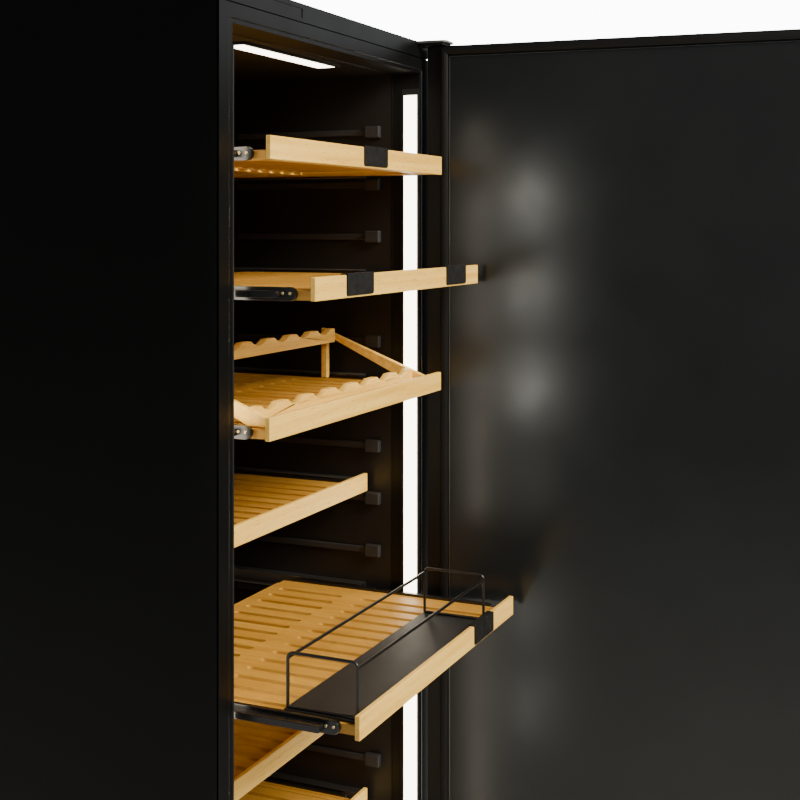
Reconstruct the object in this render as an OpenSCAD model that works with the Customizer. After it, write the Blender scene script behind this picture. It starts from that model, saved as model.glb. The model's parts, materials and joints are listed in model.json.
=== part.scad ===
// Tall free-standing wine cooler with a hinged door, seven pull-out beech
// shelves over a fixed one, a wire bottle rack, a display support and warm
// strip lights.
// The origin is on the floor under the middle of the cabinet.
// +X points to the hinge side, +Y to the back and +Z up.

/* [Cabinet] */
// Width of the cabinet
cab_w = 748; // [740:1:756]
// Depth of the cabinet without its door
cab_d = 690; // [686:1:700]
// Height from the floor to the top
cab_h = 2044; // [2042:1:2050]
// Thickness of the steel panels
sheet = 1.5; // [1:0.1:1.8]
// Thickness of the side walls, with their insulation
wall = 38; // [37:0.5:40]
// Height of the plinth
plinth_h = 96; // [90:1:98]

/* [Door] */
// How far the door stands open
door_angle = 95; // [92:0.5:105]
// Thickness of the door
door_t = 50; // [46:1:56]
// Gap between the closed door and the cabinet
door_gap = 8; // [8:0.5:9]
// Height of the door's top edge
door_top = 2035; // [2033:0.5:2036]
// Height of the door's bottom edge
door_bottom = 104; // [103:1:110]
// Width of the gasket
gasket_w = 15; // [13:1:16]

/* [Shelves] */
// Width of a shelf's front board
board_w = 640; // [630:1:642]
// Height of a shelf's front board
board_h = 34; // [32:1:36]
// Thickness of a shelf's front board
board_t = 8; // [6:0.5:9]
// Depth of a shelf from front to back
shelf_d = 470; // [450:1:472]
// Distance from one shelf to the next
shelf_pitch = 201.5; // [200:0.5:202]
// Height of the top shelf's board
top_shelf_z = 1824; // [1822:1:1826]
// Number of slats in a deck
slat_count = 14; // [12:1:15]
// How far the wire rack stands up above its board
rack_rise = 65; // [55:1:75]

/* [Hidden] */
$fn = 48;

sliding_shelves = 7;
lowest_shelf = 8;
half_w = cab_w / 2;
front_y = -cab_d / 2;
back_y = cab_d / 2;

// Inside of the cabinet
in_w = half_w - wall;
liner_t = 2.5;
floor_z = 190;
ceiling_z = cab_h - 59;
rear_in_y = 265;
liner_front_y = front_y + 59;
hump_y = 60;
hump_z = 345;
foam_below = 80;
foam_hump = 52;

// Front frame: the face, its step and its return
face_w = 26;
face_t = 4;
step_back = 2;
frame_top = cab_h - 31;
corner_r = 10;

// Base, plinth and feet
tray_z = 30;
tray_t = 2;
foot_x = 330;
foot_y = 305;
pad_r = 18;
pad_h = 8;

// Strip lights
strip_w = 27;
strip_y = front_y + 5;
strip_top = cab_h - 101;
strip_bottom = 230;
strip_edge = 3.5;
ceiling_strip_w = 34;
ceiling_strip_l = 316;
ceiling_strip_y = front_y + 91;

// Hinge
axis_x = half_w - 14;
axis_y = front_y - door_gap - 18;
pin_r = 5;
bush_clearance = 0.06;
bush_r = 9;
bush_h = 24;

// Door, drawn closed and then swung open about the hinge
inner_y = front_y - door_gap;
outer_y = inner_y - door_t;
skin = 2;
trim_t = 5;
side_inset = 46;
top_inset = 19;
gasket_side = 26;
gasket_top = 3;
gasket_bottom = 14;
bottom_inset = 32;
panel_gap = 0.3;
panel_lo = [-half_w + side_inset, door_bottom + bottom_inset];
panel_hi = [half_w - side_inset, door_top - top_inset];
gasket_lo = [-half_w + gasket_side, door_bottom + gasket_bottom];
gasket_hi = [half_w - gasket_side, door_top - gasket_top];
handle_x = -half_w + 40;
handle_stand_off = 34;
handle_r = 9;
handle_post_r = 6;
handle_z = 760;
handle_l = 660;
handle_posts = [820, 1360];

// Shelves
closed_y = front_y + 103;
drawn_out = [154.5, 226.5, 153, 0, 295.5, 0, 0, 0];
body_half = 304;
rail_w = 20;
rail_h = 14;
slat_w = 28;
band_y = 260;
band_w = 50;
end_band_w = 30;
slat_t = 8;
slat_top = 18;
bar_w = 30;
runner_t = 8;
runner_h = 20;
runner_setback = 28;
runner_l = 410;
tongue_h = 10;
board_joint = 0.2;
rail_drop = 38;
rail_end_y = 222;
ledge_end_y = 200;

// Deck on the cabinet's floor
bottom_deck_y = [-230, 55];
bottom_slat_pitch = 43;

// Bottle rack and its base plate on shelf 5
wire_r = 2.5;
rack_x = [-295, 205];
rack_y = [15, 127];
plate_t = 3;

// Display support on shelf 3
lean = 24;
lean_l = 235;
support_half = 296;
support_t = 12;
seat_count = 7;
seat_pitch = 80;
seat_r = 40;

// Label tags: width, and the middle of each along X
tag_w = 90;
tag_t = 2.5;
tag_drop = 31;

// Cooling parts
duct_y = 238;
duct_t = 4;
fan_z = 1706;
fan_r = 52;
hub_r = 17;
shaft_r = 2;
shaft_clearance = 0.06;
blade_count = 7;
filter_x = -230;
filter_z = 1866;
filter_r = 38;
filter_hole_r = 5;
coil_half = 180;
coil_z = [860, 1400];
fin_t = 2;
fin_pitch = 20;
compressor_at = [150, 228];
compressor_r = 78;
compressor_bulge = 28;
compressor_h = 133;
compressor_foot = 17;
condenser_at = [-330, 150];
condenser_size = [254, 150, 180];
condenser_pitch = 14;
circuit_at = [-50, 300, 60];
circuit_size = [100, 2, 140];
inlet_x = -315;
inlet_z = 91;

function shelf_z(k) = top_shelf_z - shelf_pitch * (k - 1);
function shelf_y(k) = closed_y - drawn_out[k - 1];

beech = [0.86, 0.74, 0.55];
black = [0.06, 0.06, 0.065];
graphite = [0.22, 0.23, 0.25];
silver = [0.7, 0.71, 0.72];

// ---------- general shapes ----------

// A box given by its lowest and highest corners
module span(lo, hi) { translate(lo) cube(hi - lo); }

// The same thing on the left and on the right
module both_sides() { for (s = [0, 1]) mirror([s, 0, 0]) children(); }

// A profile of [Y, Z] points, drawn out over X from -half to half
module side_profile(points, half) {
  rotate([90, 0, 90]) translate([0, 0, -half]) linear_extrude(2 * half) polygon(points);
}

module rounded_rect(x0, z0, x1, z1, r) {
  hull() for (x = [x0 + r, x1 - r], z = [z0 + r, z1 - r]) translate([x, z]) circle(r);
}

// A plate that stands across Y from y0 to y1, given its outline in X and Z
module upright(y0, y1) {
  translate([0, y1, 0]) rotate([90, 0, 0]) linear_extrude(y1 - y0) children();
}

// ---------- cabinet ----------

module side_panels() color(black) both_sides()
  span([half_w - sheet, front_y + face_t, tray_z], [half_w, back_y, cab_h - sheet]);

// Steel top with its front fascia, which has a small display window
module top_cover() color(graphite) difference() {
  union() {
    span([-half_w, front_y + face_t, cab_h - sheet], [half_w, back_y, cab_h]);
    span([-half_w, front_y, frame_top + 2], [half_w, front_y + face_t, cab_h]);
  }
  span([-250, front_y - 1, frame_top + 8], [-130, front_y + 1, cab_h - 8]);
}

module rear_panel() color(black) difference() {
  span([-half_w + sheet, back_y - sheet, tray_z + tray_t],
       [half_w - sheet, back_y, cab_h - sheet]);
  for (i = [0 : 9])
    span([60, back_y - 3, 70 + 18 * i], [300, back_y + 1, 78 + 18 * i]);
  span([inlet_x - 16, back_y - 3, inlet_z - 12], [inlet_x + 16, back_y + 1, inlet_z + 12]);
}

module base_tray() color(silver) {
  span([-half_w + sheet, front_y + 20, tray_z], [half_w - sheet, back_y - sheet, tray_z + tray_t]);
  both_sides() span([half_w - sheet - 3, front_y + 20, tray_z], [half_w - sheet, 110, floor_z - foam_below]);
}

// The cabinet's inside as a [Y, Z] outline from its front back, grown by t all round
function cavity(front, t) = [
  [front, floor_z - t], [hump_y + t, floor_z - t], [hump_y + t, hump_z - t],
  [rear_in_y + t, hump_z - t], [rear_in_y + t, ceiling_z + t], [front, ceiling_z + t]];

module insulation_foam() color([0.9, 0.85, 0.6]) difference() {
  side_profile([
    [front_y + face_t, floor_z - foam_below], [hump_y + foam_hump, floor_z - foam_below],
    [hump_y + foam_hump, hump_z - foam_hump], [back_y - sheet, hump_z - foam_hump],
    [back_y - sheet, cab_h - sheet], [front_y + face_t, cab_h - sheet]], half_w - sheet);
  side_profile(cavity(front_y, liner_t), in_w + liner_t);
}

module inner_liner() color(black) difference() {
  side_profile(cavity(liner_front_y, liner_t), in_w + liner_t);
  side_profile(cavity(liner_front_y - 1, 0), in_w);
}

// A face all round, an inner flange set back from it, and a deep return
module front_frame() color(graphite) {
  upright(front_y, front_y + face_t) difference() {
    translate([-half_w, plinth_h + 4]) square([cab_w, frame_top - plinth_h - 4]);
    rounded_rect(-half_w + face_w, floor_z - 8, half_w - face_w, ceiling_z + 8, corner_r);
  }
  upright(front_y + step_back, front_y + face_t) difference() {
    rounded_rect(-half_w + face_w, floor_z - 8, half_w - face_w, ceiling_z + 8, corner_r);
    translate([-in_w, floor_z]) square([2 * in_w, ceiling_z - floor_z]);
  }
  upright(front_y + face_t, liner_front_y) difference() {
    translate([-in_w - liner_t, floor_z - liner_t])
      square([2 * (in_w + liner_t), ceiling_z - floor_z + 2 * liner_t]);
    translate([-in_w, floor_z]) square([2 * in_w, ceiling_z - floor_z]);
  }
}

module plinth_grille() color(black) difference() {
  span([-half_w + sheet, front_y + 10, tray_z + tray_t - 20], [half_w - sheet, front_y + 14, plinth_h + 2]);
  for (i = [0 : 13])
    span([-320 + 46 * i, front_y + 9, 38], [-284 + 46 * i, front_y + 15, 78]);
}

module levelling_feet() color(silver) for (x = [-foot_x, foot_x], y = [-foot_y, foot_y])
  translate([x, y, 0]) {
    cylinder(r = pad_r, h = pad_h);
    translate([0, 0, pad_h]) cylinder(r = 10, h = 6, $fn = 6);
    translate([0, 0, pad_h + 6]) cylinder(r = 6, h = tray_z - pad_h - 6);
  }

// ---------- lights ----------

module light_housings() color(black) {
  both_sides() difference() {
    span([in_w - 4, strip_y - strip_edge, strip_bottom - 12],
         [in_w, strip_y + strip_w + strip_edge, strip_top + 12]);
    span([in_w - 5, strip_y, strip_bottom], [in_w - 1, strip_y + strip_w, strip_top]);
  }
  difference() {
    span([-ceiling_strip_l / 2 - 8, ceiling_strip_y - 8, ceiling_z - 4],
         [ceiling_strip_l / 2 + 8, ceiling_strip_y + ceiling_strip_w + 8, ceiling_z]);
    span([-ceiling_strip_l / 2, ceiling_strip_y, ceiling_z - 5],
         [ceiling_strip_l / 2, ceiling_strip_y + ceiling_strip_w, ceiling_z - 1]);
  }
}

module light_diffusers() color([1, 0.95, 0.86]) {
  both_sides() span([in_w - 4.5, strip_y, strip_bottom], [in_w - 1, strip_y + strip_w, strip_top]);
  span([-ceiling_strip_l / 2, ceiling_strip_y, ceiling_z - 4.5],
       [ceiling_strip_l / 2, ceiling_strip_y + ceiling_strip_w, ceiling_z - 1]);
}

// ---------- shelf supports ----------

rib_tops = [for (i = [-1 : 2 * lowest_shelf - 1]) shelf_z(1) - rail_drop - i * shelf_pitch / 2];

// Ribs up the side walls, with a full ledge under the fixed lowest shelf
module support_ribs() color(graphite) both_sides() {
  for (z = rib_tops) {
    span([in_w - 13, closed_y - 22, z - 23], [in_w, closed_y + 8, z]);
    span([in_w - 6, closed_y + 8, z - 18], [in_w, hump_y - 4, z - 6]);
  }
  z = shelf_z(lowest_shelf) - rail_drop;
  span([in_w - 13, closed_y + 8, z - 23], [in_w, ledge_end_y, z]);
}

// Fixed channels that the shelves' runners slide in
module slide_rails() color(silver) both_sides() for (k = [1 : sliding_shelves]) {
  z = shelf_z(k);
  y0 = closed_y + 12;
  span([in_w - 2, y0, z - 37.5], [in_w, rail_end_y, z - 12.5]);
  span([in_w - 21, y0, z - 14], [in_w - 2, rail_end_y, z - 12.5]);
  span([in_w - 21, y0, z - 37.5], [in_w - 2, rail_end_y, z - 36]);
}

// ---------- shelves ----------

module board(k) color(beech) board_shape(k);

module board_shape(k) {
  y = shelf_y(k);
  z = shelf_z(k);
  span([-board_w / 2, y, z - board_h], [board_w / 2, y + board_t, z]);
}

// Side rails, cross bars and slats, with the low bar behind the board and two
// bands that close the gaps between the slats
module deck(k) color(beech) deck_shape(k);

module deck_shape(k) {
  y = shelf_y(k) + board_t;
  z = shelf_z(k);
  end = shelf_y(k) + shelf_d;
  slat_pitch = 2 * (body_half - rail_w) / slat_count;
  both_sides() span([body_half - rail_w, y, z - board_h], [body_half, end, z - board_h + rail_h]);
  span([-body_half + rail_w, y, z - board_h], [body_half - rail_w, y + 9, z - slat_top - slat_t]);
  for (by = [y + 9, y + band_y + 10, end - bar_w])
    span([-body_half + rail_w, by, z - board_h + 2],
         [body_half - rail_w, by + bar_w, z - slat_top - slat_t]);
  for (band = [[y + band_y, y + band_y + band_w], [end - end_band_w, end]])
    span([-body_half + rail_w, band[0], z - slat_top - slat_t],
         [body_half - rail_w, band[1], z - slat_top]);
  for (i = [0 : slat_count - 1]) {
    x = (i - (slat_count - 1) / 2) * slat_pitch;
    span([x - slat_w / 2, y, z - slat_top - slat_t], [x + slat_w / 2, end, z - slat_top]);
  }
}

// The lowest shelf doesn't slide: its cleats lie on the ledges. A hairline joint
// parts its board from its deck.
module shelf_8() color(beech) {
  z = shelf_z(lowest_shelf);
  board_shape(lowest_shelf);
  translate([0, board_joint, 0]) {
    deck_shape(lowest_shelf);
    both_sides() span([body_half, closed_y + board_t, z - rail_drop], [in_w - 2, ledge_end_y - 2, z - 20]);
  }
}

// Black runners with the tongue that rides in the fixed channel
module runners(k) color(black) {
  y = shelf_y(k) + board_t + runner_setback;
  z = shelf_z(k) - 15;
  both_sides() {
    span([body_half, y + runner_h / 2, z - runner_h], [body_half + runner_t, y + runner_l, z]);
    translate([body_half, y + runner_h / 2, z - runner_h / 2]) rotate([0, 90, 0])
      cylinder(r = runner_h / 2, h = runner_t);
    span([body_half + runner_t, y + 24, z - 15], [in_w - 8, y + runner_l, z - 15 + tongue_h]);
  }
}

module tag(k, x) color(black) {
  y = shelf_y(k);
  z = shelf_z(k);
  span([x - tag_w / 2, y - tag_t, z - tag_drop], [x + tag_w / 2, y, z]);
  span([x - tag_w / 2, y - tag_t, z], [x + tag_w / 2, y + board_t + 2, z + 2]);
}

module shelf_2_tags() {
  tag(2, -178);
  tag(2, 209);
}

module wire(a, b, r) {
  d = b - a;
  translate(a) rotate([0, acos(d[2] / norm(d)), atan2(d[1], d[0])]) cylinder(r = r, h = norm(d));
}

// Posts, end bars and rails are of slightly different wire
module bottle_rack() color(black) {
  y = [shelf_y(5) + rack_y[0], shelf_y(5) + rack_y[1]];
  foot = shelf_z(5) - slat_top + plate_t;
  lo = foot + wire_r;
  hi = shelf_z(5) + rack_rise;
  for (x = rack_x) {
    for (v = y) wire([x, v, foot], [x, v, hi + wire_r], wire_r);
    for (z = [lo, hi]) wire([x, y[0], z], [x, y[1], z], 0.92 * wire_r);
  }
  for (v = y) wire([rack_x[0], v, hi], [rack_x[1], v, hi], 0.84 * wire_r);
}

module rack_base() color(black) {
  y = shelf_y(5);
  z = shelf_z(5) - slat_top;
  span([rack_x[0] - 4, y + rack_y[0] - 4, z], [rack_x[1] + 4, y + rack_y[1] + 4, z + plate_t]);
}

// Two leaning side bars with two scalloped rails that hold bottles on show
module display_support() color(beech) {
  y = shelf_y(3) + 20;
  z = shelf_z(3) - slat_top;
  rise = lean_l * sin(lean);
  run = lean_l * cos(lean);
  both_sides() {
    rotate([90, 0, 90]) translate([0, 0, support_half - support_t]) linear_extrude(support_t)
      polygon([[y, z], [y + 30, z], [y + run - 12, z + rise - 14], [y + run - 12, z],
               [y + run, z], [y + run, z + rise], [y, z + 13]]);
  }
  for (step = [[24, 0], [run - 30, rise - 26]]) difference() {
    span([-support_half + support_t, y + step[0], z + step[1]],
         [support_half - support_t, y + step[0] + 14, z + step[1] + 26]);
    for (i = [0 : seat_count - 1])
      translate([(i - (seat_count - 1) / 2) * seat_pitch, y + step[0] - 1, z + step[1] + 26 + seat_r - 9])
        rotate([-90, 0, 0]) cylinder(r = seat_r, h = 16);
  }
}

module bottom_deck() color(beech) {
  for (y = [bottom_deck_y[0] + 5, bottom_deck_y[1] - 35])
    span([-300, y, floor_z], [300, y + bar_w, floor_z + 6]);
  for (i = [0 : slat_count - 1]) {
    x = (i - (slat_count - 1) / 2) * bottom_slat_pitch;
    span([x - slat_w / 2, bottom_deck_y[0], floor_z + 6],
         [x + slat_w / 2, bottom_deck_y[1], floor_z + 6 + slat_t]);
  }
}

// ---------- cooling ----------

module air_duct_panel() color(black) difference() {
  span([-in_w + 4, duct_y, hump_z + 20], [in_w - 4, duct_y + duct_t, ceiling_z - 14]);
  for (i = [-5 : 5])
    translate([0, duct_y - 1, fan_z + 9 * i]) span([-45, 0, -2], [45, duct_t + 2, 2]);
  for (i = [0 : 7])
    span([-160, duct_y - 1, 420 + 14 * i], [160, duct_y + duct_t + 1, 426 + 14 * i]);
  translate([filter_x, duct_y - 1, filter_z]) rotate([-90, 0, 0])
    cylinder(r = filter_r - 4, h = duct_t + 2);
}

module evaporator() color(silver) {
  span([-coil_half, rear_in_y - 5, coil_z[0]], [coil_half, rear_in_y, coil_z[1]]);
  for (z = [coil_z[0] + 4 : fin_pitch : coil_z[1] - fin_t])
    span([-coil_half, rear_in_y - 18, z], [coil_half, rear_in_y - 5, z + fin_t]);
}

module fan_motor() color(graphite) translate([0, 0, fan_z]) {
  translate([0, rear_in_y - 6, 0]) rotate([-90, 0, 0]) cylinder(r = 20, h = 6);
  translate([0, 249, 0]) rotate([-90, 0, 0]) cylinder(r = shaft_r, h = 12);
  span([-70, rear_in_y - 3, -6], [-20, rear_in_y, 6]);
  span([20, rear_in_y - 3, -6], [70, rear_in_y, 6]);
}

module fan_rotor() color(black) translate([0, 0, fan_z]) {
  difference() {
    translate([0, 246.5, 0]) rotate([-90, 0, 0]) cylinder(r = hub_r, h = 12);
    translate([0, 248.5, 0]) rotate([-90, 0, 0]) cylinder(r = shaft_r + shaft_clearance, h = 11);
  }
  for (i = [0 : blade_count - 1]) rotate([0, i * 360 / blade_count, 0])
    translate([hub_r - 2, 248, -6]) rotate([0, 0, 10]) cube([fan_r - hub_r, 2, 16]);
}

module charcoal_filter() color(graphite) translate([filter_x, 0, filter_z]) rotate([-90, 0, 0]) {
  translate([0, 0, duct_y - 5]) difference() {
    cylinder(r = filter_r, h = 5);
    for (a = [0 : 45 : 359]) rotate(a) translate([22, 0, -1]) cylinder(r = filter_hole_r, h = 3);
  }
  translate([0, 0, duct_y]) cylinder(r = filter_r - 4.5, h = 18);
}

// A domed can on a plate with four rubber feet, and its starter box
module compressor() color(black) translate([compressor_at[0], compressor_at[1], tray_z + tray_t]) {
  core_r = compressor_r - compressor_bulge;
  shoulder = compressor_h - compressor_bulge;
  for (x = [-75, 75], y = [-50, 50]) translate([x, y, 0]) cylinder(r = 12, h = compressor_foot - 3);
  span([-92, -66, compressor_foot - 3], [92, 66, compressor_foot]);
  rotate_extrude($fn = 64) polygon(concat([[0, compressor_foot], [compressor_r - 6, compressor_foot]],
    [for (a = [0 : 15 : 90]) [core_r + compressor_bulge * cos(a), shoulder + compressor_bulge * sin(a)]],
    [[0, compressor_h]]));
  translate([compressor_r, 0, 60]) span([-6, -25, 0], [16, 25, 50]);
}

// End plates, fins and the three runs of pipe through them
module condenser() color(silver) translate([condenser_at[0], condenser_at[1], tray_z + tray_t]) {
  w = condenser_size[0];
  d = condenser_size[1];
  h = condenser_size[2];
  for (x = [0, w - 4]) span([x, 0, 0], [x + 4, d, h]);
  for (z = [10 : condenser_pitch : h - 14]) span([4, 10, z], [w - 4, d - 10, z + 2]);
  for (y = [30, 75, 120]) span([20, y, 12], [26, y + 6, h - 14]);
}

module control_board() color([0.1, 0.35, 0.2]) translate(circuit_at) {
  cube(circuit_size);
  span([10, -20, 10], [45, 0, 50]);
  span([55, -14, 80], [90, 0, 125]);
}

module power_inlet() color(black) translate([inlet_x, back_y, inlet_z]) difference() {
  union() {
    span([-15, -26, -11], [15, 0, 11]);
    span([-22, -sheet - 3, -16], [22, -sheet, 16]);
  }
  span([-12, -18, -8], [12, 4, 8]);
}

// ---------- hinge ----------

module hinge_brackets() color(silver) {
  span([axis_x - 30, axis_y - 22, door_top + 1.5], [half_w - 2, front_y, door_top + 5]);
  translate([axis_x, axis_y, door_top - bush_h + 1.5]) cylinder(r = pin_r, h = bush_h);
  span([axis_x - 30, axis_y - 22, door_bottom - 6], [half_w - 2, front_y, door_bottom - 1.5]);
  translate([axis_x, axis_y, door_bottom - 1.5]) cylinder(r = pin_r, h = bush_h);
}

module hinge_cover() color(black) {
  hull() {
    for (x = [axis_x - 26, half_w - 10]) translate([x, axis_y - 22, door_top + 5]) cylinder(r = 8, h = 4);
    span([axis_x - 38, front_y - 4, door_top + 5], [half_w - 2, front_y, door_top + 9]);
  }
}

// ---------- door ----------

// Swings its children, drawn on the closed door, to the open position
module swung() translate([axis_x, axis_y, 0]) rotate([0, 0, door_angle])
  translate([-axis_x, -axis_y, 0]) children();

module pin_holes() for (z = [door_top - bush_h, door_bottom - 1])
  translate([axis_x, axis_y, z]) cylinder(r = bush_r, h = bush_h + 1);

module door_outer_panel() color(black) swung() difference() {
  span([-half_w, outer_y, door_bottom], [half_w, inner_y - trim_t, door_top]);
  span([-half_w + skin, outer_y + skin, door_bottom + skin], [half_w - skin, inner_y, door_top - skin]);
  pin_holes();
}

module door_core() color([0.9, 0.85, 0.6]) swung() difference() {
  span([-half_w + skin, outer_y + skin, door_bottom + skin],
       [half_w - skin, inner_y - trim_t, door_top - skin]);
  pin_holes();
}

module door_inner_frame() color(graphite) swung() upright(inner_y - trim_t, inner_y) difference() {
  translate([-half_w, door_bottom]) square([cab_w, door_top - door_bottom]);
  translate(panel_lo) square(panel_hi - panel_lo);
}

module door_inner_panel() color([0.2, 0.21, 0.22]) swung()
  span([panel_lo[0] + panel_gap, inner_y - trim_t, panel_lo[1] + panel_gap],
       [panel_hi[0] - panel_gap, inner_y, panel_hi[1] - panel_gap]);

module door_gasket() color([0.3, 0.3, 0.31]) swung()
  upright(inner_y, inner_y + door_gap - 0.5) difference() {
    translate(gasket_lo) square(gasket_hi - gasket_lo);
    translate(gasket_lo + [gasket_w, gasket_w])
      square(gasket_hi - gasket_lo - [2 * gasket_w, 2 * gasket_w]);
  }

module door_handle() color(silver) swung() {
  translate([handle_x, outer_y - handle_stand_off, handle_z]) cylinder(r = handle_r, h = handle_l);
  for (z = handle_posts) translate([handle_x, outer_y - handle_stand_off, z]) rotate([-90, 0, 0])
    cylinder(r = handle_post_r, h = handle_stand_off);
}

module door_hinge_bushes() color(silver) swung() {
  for (z = [door_top - bush_h, door_bottom]) difference() {
    translate([axis_x, axis_y, z]) cylinder(r = bush_r, h = bush_h);
    translate([axis_x, axis_y, z - 1]) cylinder(r = pin_r + bush_clearance, h = bush_h + 2);
  }
}

side_panels();
top_cover();
rear_panel();
base_tray();
insulation_foam();
inner_liner();
front_frame();
plinth_grille();
levelling_feet();
light_housings();
light_diffusers();
support_ribs();
slide_rails();
air_duct_panel();
evaporator();
fan_motor();
fan_rotor();
charcoal_filter();
compressor();
condenser();
control_board();
power_inlet();
hinge_brackets();
hinge_cover();
bottom_deck();
door_outer_panel();
door_core();
door_inner_frame();
door_inner_panel();
door_gasket();
door_handle();
door_hinge_bushes();
for (k = [1 : sliding_shelves]) {
  board(k);
  deck(k);
  runners(k);
}
tag(1, 29.5);  // shelf_1_tag
shelf_2_tags();
display_support();
tag(5, 165);  // shelf_5_tag
bottle_rack();
rack_base();
shelf_8();
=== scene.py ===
"""The looks of a tall wine cooler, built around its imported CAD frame. Lengths are in metres."""

import json
import math

import bmesh
import bpy
from mathutils import Matrix, Vector


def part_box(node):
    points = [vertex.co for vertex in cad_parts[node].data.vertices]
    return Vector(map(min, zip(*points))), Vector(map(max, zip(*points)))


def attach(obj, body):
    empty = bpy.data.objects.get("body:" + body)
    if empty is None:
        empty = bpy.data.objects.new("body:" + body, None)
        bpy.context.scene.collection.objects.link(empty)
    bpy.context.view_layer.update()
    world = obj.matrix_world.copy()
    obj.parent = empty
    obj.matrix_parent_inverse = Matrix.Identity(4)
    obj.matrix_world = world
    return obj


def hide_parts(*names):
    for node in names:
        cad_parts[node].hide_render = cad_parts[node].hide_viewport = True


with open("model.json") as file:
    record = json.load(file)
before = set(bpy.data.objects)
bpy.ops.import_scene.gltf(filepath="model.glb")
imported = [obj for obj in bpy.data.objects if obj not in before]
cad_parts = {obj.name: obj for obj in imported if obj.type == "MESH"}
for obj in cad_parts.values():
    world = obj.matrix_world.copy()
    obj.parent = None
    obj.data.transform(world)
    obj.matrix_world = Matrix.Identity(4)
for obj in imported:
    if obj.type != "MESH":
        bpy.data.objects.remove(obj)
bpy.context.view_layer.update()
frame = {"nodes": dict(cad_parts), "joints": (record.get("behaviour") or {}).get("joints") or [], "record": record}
record = frame["record"]
nodes = frame["nodes"]

MM = 0.001
SLIDING_SHELVES = range(1, 8)
FIXED_SHELF = 8
DOOR_OPEN = math.radians(95)
BODY_HALF = 304 * MM
RAIL_W = 20 * MM
RAIL_DROP = 20 * MM
SLAT_COUNT = 14
SLAT_W = 28 * MM
SLAT_T = 8 * MM
BAND_Y = 260 * MM
BAND_W = 50 * MM
END_BAND_W = 30 * MM
LINER_T = 2.5 * MM
FRAME_FACE = 26 * MM


# ---------- camera, light and floor ----------

EYE = Vector((-1.9234, -1.3196, 1.6946))


def make_camera():
    data = bpy.data.cameras.new("camera")
    data.lens = 58.26
    data.sensor_width = 36
    data.shift_y = -0.2177
    data.clip_end = 100
    camera = bpy.data.objects.new("camera", data)
    camera.location = EYE
    camera.rotation_euler = (math.radians(90), 0, math.radians(-65.78))
    bpy.context.scene.collection.objects.link(camera)
    bpy.context.scene.camera = camera


def area_light(name, place, target, size, watts, color):
    data = bpy.data.lights.new(name, "AREA")
    data.shape = "DISK"
    data.size = size
    data.energy = watts
    data.color = color
    light = bpy.data.objects.new(name, data)
    light.location = place
    light.rotation_euler = (Vector(target) - Vector(place)).to_track_quat("-Z", "Y").to_euler()
    light.visible_camera = False
    bpy.context.scene.collection.objects.link(light)
    return data


def make_studio():
    world = bpy.data.worlds.new("studio")
    world.use_nodes = True
    tree = world.node_tree
    tree.nodes.clear()
    out = tree.nodes.new("ShaderNodeOutputWorld")
    seen = tree.nodes.new("ShaderNodeBackground")
    seen.inputs["Color"].default_value = (1, 1, 1, 1)
    seen.inputs["Strength"].default_value = 12
    soft = tree.nodes.new("ShaderNodeBackground")
    soft.inputs["Color"].default_value = (0.95, 0.97, 1, 1)
    soft.inputs["Strength"].default_value = 0.13
    path = tree.nodes.new("ShaderNodeLightPath")
    mix = tree.nodes.new("ShaderNodeMixShader")
    tree.links.new(path.outputs["Is Camera Ray"], mix.inputs[0])
    tree.links.new(soft.outputs[0], mix.inputs[1])
    tree.links.new(seen.outputs[0], mix.inputs[2])
    tree.links.new(mix.outputs[0], out.inputs[0])
    bpy.context.scene.world = world
    area_light("key", (-0.5, -3.3, 3.3), (0.0, -0.4, 1.5), 1.4, 270, (1, 0.92, 0.78))
    area_light("fill", (3.0, -1.9, 2.7), (0, -0.3, 1.9), 1.3, 6, (0.95, 0.98, 1))
    area_light("back", (1.2, 3.6, 2.6), (0, 0.3, 1.1), 1.8, 150, (1, 1, 1))
    make_lamp_row()


def make_lamp_row():
    """A column of small lamps beside the cabinet, which the door's panel mirrors softly."""
    heights_and_shares = [(1.77, 1), (1.508, 0.9), (1.232, 1), (0.956, 0.15), (0.579, 0.25), (0.317, 0.25)]
    reach = 0.363
    watts = 0.022
    for i, (height, share) in enumerate(heights_and_shares):
        place = (-1.0, -0.354, height)
        target = (0.358, -0.5565, height + (EYE.z - height) * reach)
        data = area_light(f"lamp_{i}", place, target, 0.07, watts * share, (1, 0.97, 0.86))
        data.shape = "RECTANGLE"
        data.size_y = 0.15
        data.spread = math.radians(30)


# ---------- materials ----------

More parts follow.
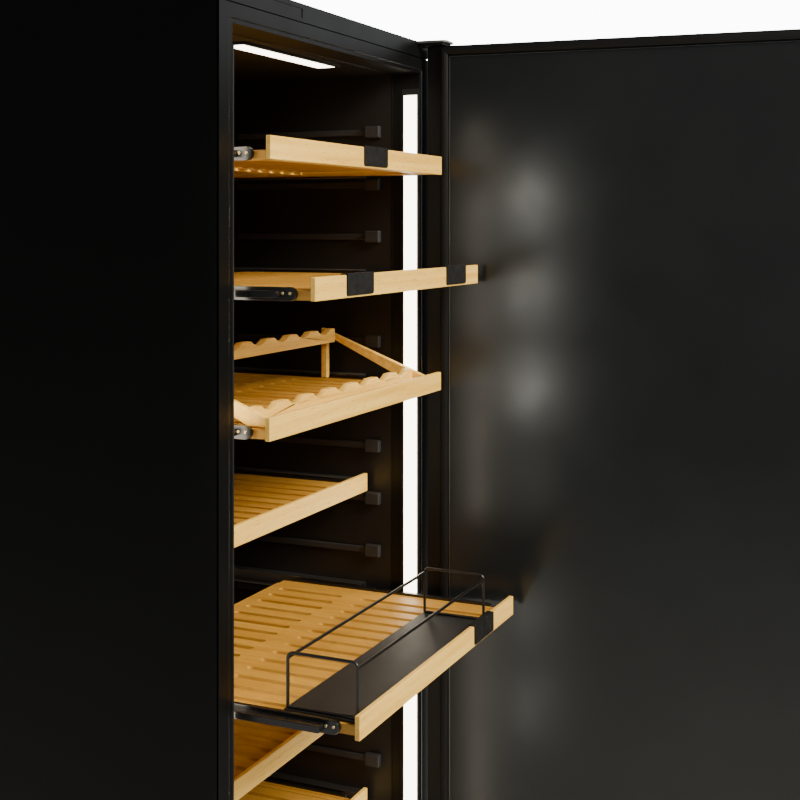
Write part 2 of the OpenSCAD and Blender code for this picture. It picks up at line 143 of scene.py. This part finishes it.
class Surface:
    """A procedural material around one Principled shader."""

    def __init__(self, name, roughness, metallic=0.0, specular=0.5):
        self.material = bpy.data.materials.new(name)
        self.material.use_nodes = True
        self.tree = self.material.node_tree
        self.shader = self.tree.nodes["Principled BSDF"]
        self.shader.inputs["Roughness"].default_value = roughness
        self.shader.inputs["Metallic"].default_value = metallic
        self.shader.inputs["Specular IOR Level"].default_value = specular
        self.place = self.tree.nodes.new("ShaderNodeTexCoord")

    def noise(self, scale, stretch=(1, 1, 1), detail=4):
        mapping = self.tree.nodes.new("ShaderNodeMapping")
        mapping.inputs["Scale"].default_value = stretch
        texture = self.tree.nodes.new("ShaderNodeTexNoise")
        texture.inputs["Scale"].default_value = scale
        texture.inputs["Detail"].default_value = detail
        self.tree.links.new(self.place.outputs["Object"], mapping.inputs["Vector"])
        self.tree.links.new(mapping.outputs[0], texture.inputs["Vector"])
        return texture.outputs["Fac"]

    def ramp(self, value, stops):
        ramp = self.tree.nodes.new("ShaderNodeValToRGB")
        elements = ramp.color_ramp.elements
        while len(elements) < len(stops):
            elements.new(0.5)
        for element, (place, color) in zip(elements, stops):
            element.position = place
            element.color = (*color, 1)
        self.tree.links.new(value, ramp.inputs[0])
        return ramp.outputs["Color"]

    def multiply(self, a, b):
        mix = self.tree.nodes.new("ShaderNodeMix")
        mix.data_type = "RGBA"
        mix.blend_type = "MULTIPLY"
        mix.inputs["Factor"].default_value = 1
        self.tree.links.new(a, mix.inputs["A"])
        self.tree.links.new(b, mix.inputs["B"])
        return mix.outputs["Result"]

    def color(self, value):
        self.tree.links.new(value, self.shader.inputs["Base Color"])

    def roughness(self, value, low, high):
        spread = self.tree.nodes.new("ShaderNodeMapRange")
        spread.inputs["To Min"].default_value = low
        spread.inputs["To Max"].default_value = high
        self.tree.links.new(value, spread.inputs["Value"])
        self.tree.links.new(spread.outputs[0], self.shader.inputs["Roughness"])

    def bump(self, value, height, strength=0.4):
        bump = self.tree.nodes.new("ShaderNodeBump")
        bump.inputs["Strength"].default_value = strength
        bump.inputs["Distance"].default_value = height
        self.tree.links.new(value, bump.inputs["Height"])
        self.tree.links.new(bump.outputs[0], self.shader.inputs["Normal"])


def scaled(color, factor):
    return tuple(min(1, c * factor) for c in color)


def painted(name, color, rough, grain=900, height=0.00004, specular=0.5, metallic=0.0):
    """Paint or moulded plastic: a fine surface grain and slight, broad unevenness."""
    surface = Surface(name, rough, metallic, specular)
    broad = surface.noise(5, detail=3)
    surface.color(surface.ramp(broad, [(0.3, scaled(color, 0.88)), (0.7, scaled(color, 1.12))]))
    surface.roughness(surface.noise(14), rough - 0.05, rough + 0.05)
    surface.bump(surface.noise(grain, detail=2), height, 0.3)
    return surface.material


def brushed(name, color, rough, stretch):
    surface = Surface(name, rough, 1.0)
    lines = surface.noise(60, stretch, 5)
    surface.color(surface.ramp(lines, [(0.3, scaled(color, 0.85)), (0.7, scaled(color, 1.1))]))
    surface.roughness(lines, rough - 0.08, rough + 0.1)
    surface.bump(lines, 0.00003, 0.3)
    return surface.material


def beech(name, along, painted_warm_light=1.0, painted_shade=1.0):
    """Pale beech whose grain runs along one axis, with short darker flecks.
    A third argument over 1 tints the wood amber as painted warm light, and a fourth under 1 darkens it as painted
    shade."""
    surface = Surface(name, 0.5, 0.0, 0.35)
    stretch = [1, 1, 1]
    stretch["XYZ".index(along)] = 0.035
    fleck_stretch = [1, 1, 1]
    fleck_stretch["XYZ".index(along)] = 0.12
    grain = surface.noise(85, stretch, 6)
    broad = surface.noise(24, stretch, 2)
    fleck = surface.noise(420, fleck_stretch, 2)
    tones = [(0.3, (0.76, 0.44, 0.078)), (0.5, (0.89, 0.565, 0.118)), (0.7, (0.97, 0.65, 0.165))]
    # Painted light: the tones are warmed towards amber as painted warm light and darkened as painted shade.
    tones_with_painted_light = [(at, scaled((r, g / painted_warm_light, b / painted_warm_light ** 3), painted_shade)) for at, (r, g, b) in tones]
    grain_color = surface.ramp(grain, tones_with_painted_light)
    broad_color = surface.ramp(broad, [(0.3, (0.88, 0.85, 0.80)), (0.65, (1, 1, 1))])
    fleck_color = surface.ramp(fleck, [(0.30, (0.80, 0.72, 0.62)), (0.40, (1, 1, 1))])
    surface.color(surface.multiply(surface.multiply(grain_color, broad_color), fleck_color))
    surface.roughness(grain, 0.44, 0.58)
    surface.bump(fleck, 0.00008, 0.35)
    return surface.material


def slate():
    surface = Surface("slate", 0.7, 0.0, 0.25)
    cloud = surface.noise(70, detail=6)
    surface.color(surface.ramp(cloud, [(0.35, (0.003, 0.003, 0.0032)), (0.7, (0.011, 0.011, 0.0115))]))
    surface.bump(surface.noise(500, detail=5), 0.00012, 0.5)
    return surface.material


def glowing():
    surface = Surface("light", 0.4)
    diodes = surface.noise(30, detail=2)
    surface.color(surface.ramp(diodes, [(0.3, (0.93, 0.88, 0.8)), (0.7, (1, 0.96, 0.9))]))
    surface.shader.inputs["Emission Color"].default_value = (1, 0.88, 0.7, 1)
    surface.shader.inputs["Emission Strength"].default_value = 9.5
    return surface.material


def foam():
    surface = Surface("foam", 0.9, 0.0, 0.2)
    cells = surface.noise(260, detail=3)
    surface.color(surface.ramp(cells, [(0.35, (0.55, 0.45, 0.25)), (0.65, (0.72, 0.62, 0.38))]))
    surface.bump(cells, 0.0004, 0.6)
    return surface.material


def make_materials():
    return {
        "cabinet_black": painted("cabinet_black", (0.0022, 0.0022, 0.0023), 0.5, 700, 0.00003, 0.14),
        "frame_grey": painted("frame_grey", (0.0016, 0.0019, 0.002), 0.4, 800, 0.00002, 0.27),
        "liner": painted("liner", (0.008, 0.0073, 0.0068), 0.42, 500, 0.00008, 0.4),
        "zinc": brushed("zinc", (0.42, 0.43, 0.44), 0.35, (1, 0.04, 1)),
        "foam": foam(),
        "black_plastic": painted("black_plastic", (0.008, 0.008, 0.009), 0.5, 1200, 0.00008),
        "light": glowing(),
        "rib": painted("rib", (0.021, 0.021, 0.022), 0.45, 900, 0.00005),
        "fins": brushed("fins", (0.7, 0.71, 0.72), 0.4, (0.05, 1, 1)),
        "filter": painted("filter", (0.03, 0.03, 0.03), 0.75, 300, 0.0004),
        "compressor_black": painted("compressor_black", (0.006, 0.006, 0.006), 0.25, 250, 0.0001),
        "board_green": painted("board_green", (0.01, 0.09, 0.03), 0.3, 400, 0.0001),
        "cover_grey": painted("cover_grey", (0.07, 0.073, 0.075), 0.3, 1000, 0.00005),
        "trim": painted("trim", (0.0015, 0.0015, 0.0016), 0.4, 900, 0.00005, 0.25),
        "door_panel": painted("door_panel", (0.0102, 0.0119, 0.0128), 0.2, 1400, 0.00001, 0.3),
        "gasket": painted("gasket", (0.003, 0.003, 0.0031), 0.5, 600, 0.00008, 0.25),
        "handle": brushed("handle", (0.36, 0.37, 0.38), 0.28, (1, 1, 0.03)),
        "bracket_black": painted("bracket_black", (0.005, 0.005, 0.0055), 0.4, 700, 0.00004),
        "bush": painted("bush", (0.5, 0.5, 0.48), 0.4, 900, 0.00005),
        "beech": beech("beech", "X"),
        # The decks' beech is the boards' beech made darker and warmer: painted shade and painted warm light.
        "beech_deck_painted_shade": beech("beech_deck_painted_shade", "Y", 1.22, 0.6),
        "runner": painted("runner", (0.0055, 0.0055, 0.006), 0.28, 900, 0.00003, 0.6),
        "slate": slate(),
        "rack_wire": painted("rack_wire", (0.006, 0.006, 0.0065), 0.33, 1000, 0.00005, 0.6),
        "rack_plate": painted("rack_plate", (0.009, 0.009, 0.0095), 0.55, 900, 0.0001),
        "brass": brushed("brass", (0.62, 0.48, 0.25), 0.3, (1, 1, 1)),
        # Painted highlight: a metal much lighter than the black frame and door, so the edges it lines show as
        # bright lines.
        "highlight_bead": brushed("highlight_bead", (0.16, 0.17, 0.18), 0.35, (1, 1, 0.03)),
    }


def dress_cad(materials):
    for part in record["subparts"]:
        data = nodes[part["node"]].data
        data.materials.clear()
        data.materials.append(materials[part["material_slot"]])


def soften(node, body, material, bevel):
    """Stands a copy of a CAD node, with its edges eased, in for the node."""
    bm = bmesh.new()
    bm.from_mesh(nodes[node].data)
    bmesh.ops.remove_doubles(bm, verts=bm.verts, dist=0.001 * MM)
    bmesh.ops.join_triangles(bm, faces=bm.faces, angle_face_threshold=0.01, angle_shape_threshold=3.1)
    make_piece(f"eased_{node}", bm, material, body, bevel, (node,))


def soften_cad(materials):
    """The plain CAD pieces that show, with the edges that a person would see."""
    soften("display_support", "shelf_3", materials["beech"], 1.2 * MM)
    soften("bottom_deck", "cabinet", materials["beech_deck_painted_shade"], 0.8 * MM)
    soften("rack_base", "shelf_5", materials["rack_plate"], 0.6 * MM)
    soften("door_handle", "door", materials["handle"], 1.2 * MM)
    soften("hinge_cover", "cabinet", materials["cover_grey"], 0.8 * MM)
    soften("levelling_feet", "cabinet", materials["zinc"], 0.6 * MM)


# ---------- mesh tools ----------

def add_box(bm, corner, opposite):
    """A box between two opposite corners, which may come in any order."""
    lo = Vector([min(pair) for pair in zip(corner, opposite)])
    hi = Vector([max(pair) for pair in zip(corner, opposite)])
    place = Matrix.Translation((lo + hi) / 2) @ Matrix.Diagonal((*(hi - lo), 1))
    bmesh.ops.create_cube(bm, size=1, matrix=place)


def add_extrusion(bm, outline, axis, start, end):
    """A solid whose outline lies across one axis (0, 1 or 2) and runs along it."""
    loops = []
    for at in (start, end):
        loop = []
        for point in outline:
            place = list(point)
            place.insert(axis, at)
            loop.append(bm.verts.new(place))
        loops.append(loop)
        bm.faces.new(loop)
    near, far = loops
    count = len(outline)
    for i in range(count):
        j = (i + 1) % count
        bm.faces.new((near[i], near[j], far[j], far[i]))


def arc(cx, cz, r, start, end, steps=8):
    """Points from one angle to another, in degrees."""
    angles = [math.radians(start + (end - start) * i / steps) for i in range(steps + 1)]
    return [(cx + r * math.cos(a), cz + r * math.sin(a)) for a in angles]


def rounded_loop(x0, z0, x1, z1, r, steps=6):
    return (arc(x1 - r, z1 - r, r, 0, 90, steps) + arc(x0 + r, z1 - r, r, 90, 180, steps)
            + arc(x0 + r, z0 + r, r, 180, 270, steps) + arc(x1 - r, z0 + r, r, 270, 360, steps))


def add_ring(bm, x0, z0, x1, z1, r, profile):
    """Sweeps a closed profile of (inset, y) points round a rounded rectangle."""
    loops = []
    for inset, y in profile:
        corner = max(r - inset, 0.0005)
        points = rounded_loop(x0 + inset, z0 + inset, x1 - inset, z1 - inset, corner)
        loops.append([bm.verts.new((x, y, z)) for x, z in points])
    for a, b in zip(loops, loops[1:] + loops[:1]):
        for i in range(len(a)):
            j = (i + 1) % len(a)
            bm.faces.new((a[i], a[j], b[j], b[i]))


def make_piece(name, bm, material, body, bevel=0.0, replaces=(), smooth=False):
    bmesh.ops.recalc_face_normals(bm, faces=bm.faces)
    data = bpy.data.meshes.new(name)
    bm.to_mesh(data)
    bm.free()
    piece = bpy.data.objects.new(name, data)
    bpy.context.scene.collection.objects.link(piece)
    data.materials.append(material)
    if smooth:
        data.polygons.foreach_set("use_smooth", [True] * len(data.polygons))
    if bevel:
        modifier = piece.modifiers.new("edges", "BEVEL")
        modifier.width = bevel
        modifier.segments = 2
        modifier.limit_method = "ANGLE"
        modifier.angle_limit = math.radians(40)
    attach(piece, body)
    if replaces:
        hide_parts(*replaces)
    return piece


# ---------- shelves ----------

def shelf_body(k):
    return f"shelf_{k}" if k in SLIDING_SHELVES else "cabinet"


def shelf_front(k):
    """Corners of a shelf's front board."""
    if k in SLIDING_SHELVES:
        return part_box(f"shelf_{k}_front")
    lo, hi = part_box("shelf_8")
    board_lo, board_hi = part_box("shelf_7_front")
    thick = board_hi.y - board_lo.y
    half = board_hi.x
    height = board_hi.z - board_lo.z
    return Vector((-half, lo.y, hi.z - height)), Vector((half, lo.y + thick, hi.z))


def make_board(k, materials):
    lo, hi = shelf_front(k)
    bm = bmesh.new()
    add_box(bm, lo, hi)
    replaced = (f"shelf_{k}_front",) if k in SLIDING_SHELVES else ()
    make_piece(f"board_{k}", bm, materials["beech"], shelf_body(k), 1.1 * MM, replaced)


def add_gap_filler(bm, x, half, y0, y1, z0, z1, round_back=True):
    """Closes the gap between two slats. The gap ends in a half circle where it meets the filler."""
    outline = [(x - half, y0)] + arc(x, y0, half, 165, 15, 10) + [(x + half, y0)]
    if round_back:
        back = [(px, 2 * y1 - py) for px, py in arc(x, y1, half, 15, 165, 10)]
        outline += [(x + half, y1)] + back + [(x - half, y1)]
    else:
        outline += [(x + half, y1), (x - half, y1)]
    add_extrusion(bm, outline, 2, z0, z1)


def make_deck(k, materials):
    """Side rails with a groove, cross bars, and slats whose gaps end in rounded bands."""
    board_lo, board_hi = shelf_front(k)
    if k in SLIDING_SHELVES:
        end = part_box(f"shelf_{k}_deck")[1].y
    else:
        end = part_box("shelf_8")[1].y
    start = board_hi.y
    bottom = board_lo.z
    slat_top = board_hi.z - 18 * MM
    rail_top = board_hi.z - RAIL_DROP
    groove_bottom = rail_top - 2 * MM
    groove_inset = 7 * MM
    groove_w = 1.6 * MM
    inner = BODY_HALF - RAIL_W
    body = shelf_body(k)

    bm = bmesh.new()
    for side in (-1, 1):
        outer_x = side * BODY_HALF
        inner_x = side * inner
        groove_x = side * (BODY_HALF - groove_inset)
        add_box(bm, (outer_x, start, bottom), (inner_x, end, groove_bottom))
        add_box(bm, (outer_x, start, groove_bottom), (groove_x + side * groove_w / 2, end, rail_top))
        add_box(bm, (groove_x - side * groove_w / 2, start, groove_bottom), (inner_x, end, rail_top))
    replaced = (f"shelf_{k}_deck",) if k in SLIDING_SHELVES else ("shelf_8",)
    make_piece(f"side_rails_{k}", bm, materials["beech_deck_painted_shade"], body, 0.4 * MM, replaced)

    bm = bmesh.new()
    front_bar_w = 9 * MM
    bar_w = 30 * MM
    bar_lift = 2 * MM
    bar_top = slat_top - SLAT_T
    add_box(bm, (-inner, start, bottom), (inner, start + front_bar_w, bar_top))
    for y in (start + front_bar_w, start + BAND_Y + (BAND_W - bar_w) / 2, end - bar_w):
        add_box(bm, (-inner, y, bottom + bar_lift), (inner, y + bar_w, bar_top))
    make_piece(f"cross_bars_{k}", bm, materials["beech"], body, 0.6 * MM)

    bm = bmesh.new()
    pitch = 2 * inner / SLAT_COUNT
    for i in range(SLAT_COUNT):
        x = (i - (SLAT_COUNT - 1) / 2) * pitch
        add_box(bm, (x - SLAT_W / 2, start, bar_top), (x + SLAT_W / 2, end, slat_top))
    make_piece(f"slats_{k}", bm, materials["beech_deck_painted_shade"], body, 0.5 * MM)

    bm = bmesh.new()
    half_gap = (pitch - SLAT_W) / 2
    for i in range(SLAT_COUNT - 1):
        x = (i + 1 - SLAT_COUNT / 2) * pitch
        band = start + BAND_Y
        add_gap_filler(bm, x, half_gap, band, band + BAND_W, bar_top, slat_top)
        add_gap_filler(bm, x, half_gap, end - END_BAND_W, end, bar_top, slat_top, round_back=False)
    make_piece(f"bands_{k}", bm, materials["beech_deck_painted_shade"], body)


def make_fixed_cleats(materials):
    lo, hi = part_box("shelf_8")
    cleat_front = shelf_front(FIXED_SHELF)[1].y
    cleat_back = 198 * MM
    bm = bmesh.new()
    for side in (-1, 1):
        add_box(bm, (side * BODY_HALF, cleat_front, lo.z), (side * hi.x, cleat_back, hi.z - RAIL_DROP))
    make_piece("cleats_8", bm, materials["beech_deck_painted_shade"], "cabinet", 0.8 * MM)


def make_runners(k, materials):
    lo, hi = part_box(f"shelf_{k}_runners")
    body = f"shelf_{k}"
    radius = (hi.z - lo.z) / 2
    middle = (hi.z + lo.z) / 2
    thick = 8 * MM
    tongue_front = lo.y + 24 * MM
    screw_inset = 9 * MM
    screw_pitch = 12 * MM
    outline = ([(hi.y, lo.z), (hi.y, hi.z)]
               + arc(lo.y + radius, middle, radius, 90, 270, 12))
    bm = bmesh.new()
    for side in (-1, 1):
        a = side * BODY_HALF
        b = side * (BODY_HALF + thick)
        add_extrusion(bm, outline, 0, min(a, b), max(a, b))
        add_box(bm, (b, tongue_front, hi.z - 15 * MM), (side * hi.x, hi.y, hi.z - 5 * MM))
    make_piece(f"runners_{k}", bm, materials["runner"], body, 0.7 * MM, (f"shelf_{k}_runners",))

    bm = bmesh.new()
    for side in (-1, 1):
        for step in (0, 1):
            y = lo.y + screw_inset + screw_pitch * step
            head = Matrix.Translation((side * (BODY_HALF + thick), y, middle + 1 * MM))
            turn = Matrix.Rotation(side * math.radians(90), 4, "Y")
            add_screw(bm, head @ turn)
    make_piece(f"runner_screws_{k}", bm, materials["brass"], body, smooth=True)


def add_screw(bm, place):
    """A low domed screw head with a cross recess, standing along its own Z."""
    rings = [(2.4, -1.0), (2.4, 0.3), (1.9, 0.9), (1.2, 1.15), (0.7, 0.75)]
    steps = 16
    loops = []
    for r, z in rings:
        loop = []
        for i in range(steps):
            a = 2 * math.pi * i / steps
            reach = r * (1 if i % 4 or r > 1.3 else 1.25)
            point = Vector((reach * math.cos(a) * MM, reach * math.sin(a) * MM, z * MM))
            loop.append(bm.verts.new(place @ point))
        loops.append(loop)
    for a, b in zip(loops, loops[1:]):
        for i in range(steps):
            j = (i + 1) % steps
            bm.faces.new((a[i], a[j], b[j], b[i]))
    bm.faces.new(loops[0])
    bm.faces.new(loops[-1])


def make_tags(materials):
    """Slate tags that hang over the boards, with round lower corners."""
    for k, node, count in ((1, "shelf_1_tag", 1), (2, "shelf_2_tags", 2), (5, "shelf_5_tag", 1)):
        lo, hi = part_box(node)
        board_lo, board_hi = shelf_front(k)
        width = 90 * MM
        bm = bmesh.new()
        for x0 in ([lo.x] if count == 1 else [lo.x, hi.x - width]):
            r = 4 * MM
            x1 = x0 + width
            outline = ([(x1, hi.z), (x0, hi.z)] + arc(x0 + r, lo.z + r, r, 180, 270)
                       + arc(x1 - r, lo.z + r, r, 270, 360))
            add_extrusion(bm, outline, 1, lo.y, board_lo.y)
            add_box(bm, (x0, board_lo.y, board_hi.z), (x1, hi.y, hi.z))
        make_piece(f"tag_{k}", bm, materials["slate"], f"shelf_{k}", 0.6 * MM, (node,))


# ---------- bottle rack ----------

def rounded_path(points, r, steps=6):
    """The points, with each inner corner turned on a radius."""
    path = [Vector(points[0])]
    for a, b, c in zip(points, points[1:], points[2:]):
        b = Vector(b)
        back = (Vector(a) - b).normalized()
        ahead = (Vector(c) - b).normalized()
        for i in range(steps + 1):
            t = i / steps
            path.append((b + back * r) * (1 - t) ** 2 + b * 2 * t * (1 - t) + (b + ahead * r) * t ** 2)
    path.append(Vector(points[-1]))
    return path


def make_rack(materials):
    lo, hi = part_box("bottle_rack")
    wire = 2.5 * MM
    x0, x1 = lo.x + wire, hi.x - wire
    y0, y1 = lo.y + wire, hi.y - wire
    z0, z1 = lo.z + wire, hi.z - wire
    data = bpy.data.curves.new("rack", "CURVE")
    data.dimensions = "3D"
    data.bevel_depth = wire
    data.bevel_resolution = 4
    data.use_fill_caps = True
    hoop_r = 10 * MM
    rail_z = z1 - 8 * MM
    runs = []
    for x in (x0, x1):
        hoop = [(x, y0, z0), (x, y0, z1), (x, y1, z1), (x, y1, z0)]
        runs.append(rounded_path(hoop, hoop_r))
    runs += [[Vector((x, y0, z0)), Vector((x, y1, z0))] for x in (x0, x1)]
    runs += [[Vector((x0, y, rail_z)), Vector((x1, y, rail_z))] for y in (y0, y1)]
    for run in runs:
        spline = data.splines.new("POLY")
        spline.points.add(len(run) - 1)
        for point, place in zip(spline.points, run):
            point.co = (*place, 1)
        spline.use_smooth = True
    piece = bpy.data.objects.new("rack", data)
    bpy.context.scene.collection.objects.link(piece)
    data.materials.append(materials["rack_wire"])
    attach(piece, "shelf_5")
    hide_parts("bottle_rack")


# ---------- cabinet ----------

def make_ribs(materials):
    """Rounded support blocks up both side walls, each with a low rib behind it."""
    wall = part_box("support_ribs")[1].x
    board_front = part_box("shelf_4_front")[0].y
    shelf_1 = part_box("shelf_1_front")[1].z
    pitch = (shelf_1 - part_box("shelf_2_front")[1].z) / 2
    rows = range(-1, 16)
    block_w = 13 * MM
    block_h = 23 * MM
    block_front = board_front - 22 * MM
    block_back = board_front + 8 * MM
    rib_w = 6 * MM
    rib_front = block_back + 1 * MM
    rib_back = 56 * MM
    ledge_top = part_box("shelf_8")[0].z - 19 * MM
    ledge_h = 4 * MM
    ledge_back = 200 * MM
    bm = bmesh.new()
    for side in (-1, 1):
        wall_x = side * wall
        block_x = side * (wall - block_w)
        rib_x = side * (wall - rib_w)
        for row in rows:
            top = shelf_1 - 38 * MM - row * pitch
            add_box(bm, (block_x, block_front, top - block_h), (wall_x, block_back, top))
            add_box(bm, (rib_x, rib_front, top - 18 * MM), (wall_x, rib_back, top - 6 * MM))
        add_box(bm, (block_x, rib_front, ledge_top - ledge_h), (wall_x, ledge_back, ledge_top))
    make_piece("ribs", bm, materials["rib"], "cabinet", 2.2 * MM, ("support_ribs",))


def make_frame_highlight_beads(materials):
    """The front frame's edges with painted highlights: a lighter metal strip on its outer arris and a lip round
    the opening, whose rounded profiles also catch real light.
    """
    lo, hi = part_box("front_frame")
    liner_lo, liner_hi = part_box("inner_liner")
    reveal = 8 * MM
    opening_r = 10 * MM
    opening_bottom = liner_lo.z + LINER_T - reveal
    opening_top = liner_hi.z - LINER_T + reveal
    y = lo.y
    bm = bmesh.new()
    arris = [(0, y + 3.9 * MM), (0, y + 1.2 * MM), (0.9 * MM, y + 0.2 * MM), (0.9 * MM, y + 3.9 * MM)]
    add_ring(bm, lo.x, lo.z, hi.x, hi.z, 1.5 * MM, arris)
    lip = [(FRAME_FACE, y + 0.15 * MM), (FRAME_FACE + 1.2 * MM, y + 0.5 * MM),
           (FRAME_FACE + 1.8 * MM, y + 1.9 * MM), (FRAME_FACE, y + 1.9 * MM)]
    add_ring(bm, lo.x, opening_bottom - FRAME_FACE, hi.x, opening_top + FRAME_FACE,
             FRAME_FACE + opening_r, lip)
    make_piece("frame_highlight_beads", bm, materials["highlight_bead"], "cabinet")


def make_liner_seam(materials):
    """The dark seam where the frame's return meets the liner."""
    lo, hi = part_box("inner_liner")
    seam = [(-0.2 * MM, lo.y - 1.4 * MM), (0.7 * MM, lo.y - 1.0 * MM), (0.7 * MM, lo.y + 1.0 * MM),
            (-0.2 * MM, lo.y + 1.4 * MM)]
    bm = bmesh.new()
    add_ring(bm, lo.x + LINER_T, lo.z + LINER_T, hi.x - LINER_T, hi.z - LINER_T, 1.5 * MM, seam)
    make_piece("liner_seam", bm, materials["trim"], "cabinet")


def make_head_gap(materials):
    """A dark strip at the back of the gap between the fascia and the frame's head."""
    lo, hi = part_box("front_frame")
    fascia_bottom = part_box("top_cover")[0].z
    bm = bmesh.new()
    add_box(bm, (lo.x + 2 * MM, lo.y + 2.6 * MM, hi.z), (hi.x - 2 * MM, lo.y + 3.9 * MM, fascia_bottom))
    make_piece("head_gap", bm, materials["trim"], "cabinet", 0.1 * MM)


# ---------- door ----------

def swing(bm):
    """Turns what was drawn on the closed door to where the door stands."""
    hinge = Vector(next(j["pos_m"] for j in frame["joints"] if j["name"] == "door_swing"))
    turn = Matrix.Translation(hinge) @ Matrix.Rotation(DOOR_OPEN, 4, "Z") @ Matrix.Translation(-hinge)
    bmesh.ops.transform(bm, matrix=turn, verts=bm.verts)


def make_door_seal(materials):
    """A ribbed gasket, and inside it a bead of lighter metal that paints a highlight line."""
    cabinet_lo, cabinet_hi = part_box("front_frame")
    seal_lo, seal_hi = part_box("door_gasket")
    inner_y = cabinet_lo.y - 8 * MM
    half = cabinet_hi.x - FRAME_FACE
    wide = 15 * MM
    crest = 6.1 * MM
    rib_h = 0.9 * MM
    rib_count = 4
    steps = 16
    profile = [(0, inner_y)]
    for i in range(steps + 1):
        t = i / steps
        rib = rib_h * (0.5 - 0.5 * math.cos(2 * math.pi * rib_count * t))
        swell = math.sin(math.pi * min(1, 0.08 + t * 0.84)) ** 0.35
        profile.append((wide * t, inner_y + crest * swell + rib))
    profile.append((wide, inner_y))
    bm = bmesh.new()
    add_ring(bm, -half, seal_lo.z, half, seal_hi.z, 5 * MM, profile)
    swing(bm)
    make_piece("door_seal", bm, materials["gasket"], "door",
               replaces=("door_gasket",), smooth=True)

    # Painted highlight: a thin bead of lighter metal along the seal's inner border, standing in for the border's
    # edge highlight.
    highlight_bead = [(wide + 1.8 * MM, inner_y), (wide + 2.2 * MM, inner_y + 1.3 * MM),
            (wide + 3.4 * MM, inner_y + 1.3 * MM), (wide + 3.8 * MM, inner_y)]
    bm = bmesh.new()
    add_ring(bm, -half, seal_lo.z, half, seal_hi.z, 5 * MM, highlight_bead)
    swing(bm)
    make_piece("door_highlight_bead", bm, materials["highlight_bead"], "door")


def make_floor():
    surface = Surface("floor", 0.8, 0.0, 0.2)
    surface.color(surface.ramp(surface.noise(2), [(0.3, (0.80, 0.80, 0.79)), (0.7, (0.83, 0.83, 0.82))]))
    bm = bmesh.new()
    add_box(bm, (-8, -8, -0.02), (8, 8, -0.0005))
    data = bpy.data.meshes.new("floor")
    bm.to_mesh(data)
    bm.free()
    floor = bpy.data.objects.new("floor", data)
    data.materials.append(surface.material)
    bpy.context.scene.collection.objects.link(floor)


make_camera()
make_studio()
make_floor()
materials = make_materials()
dress_cad(materials)
for k in (*SLIDING_SHELVES, FIXED_SHELF):
    make_board(k, materials)
    make_deck(k, materials)
for k in SLIDING_SHELVES:
    make_runners(k, materials)
make_fixed_cleats(materials)
make_tags(materials)
make_rack(materials)
make_ribs(materials)
soften_cad(materials)
make_frame_highlight_beads(materials)
make_liner_seam(materials)
make_head_gap(materials)
make_door_seal(materials)
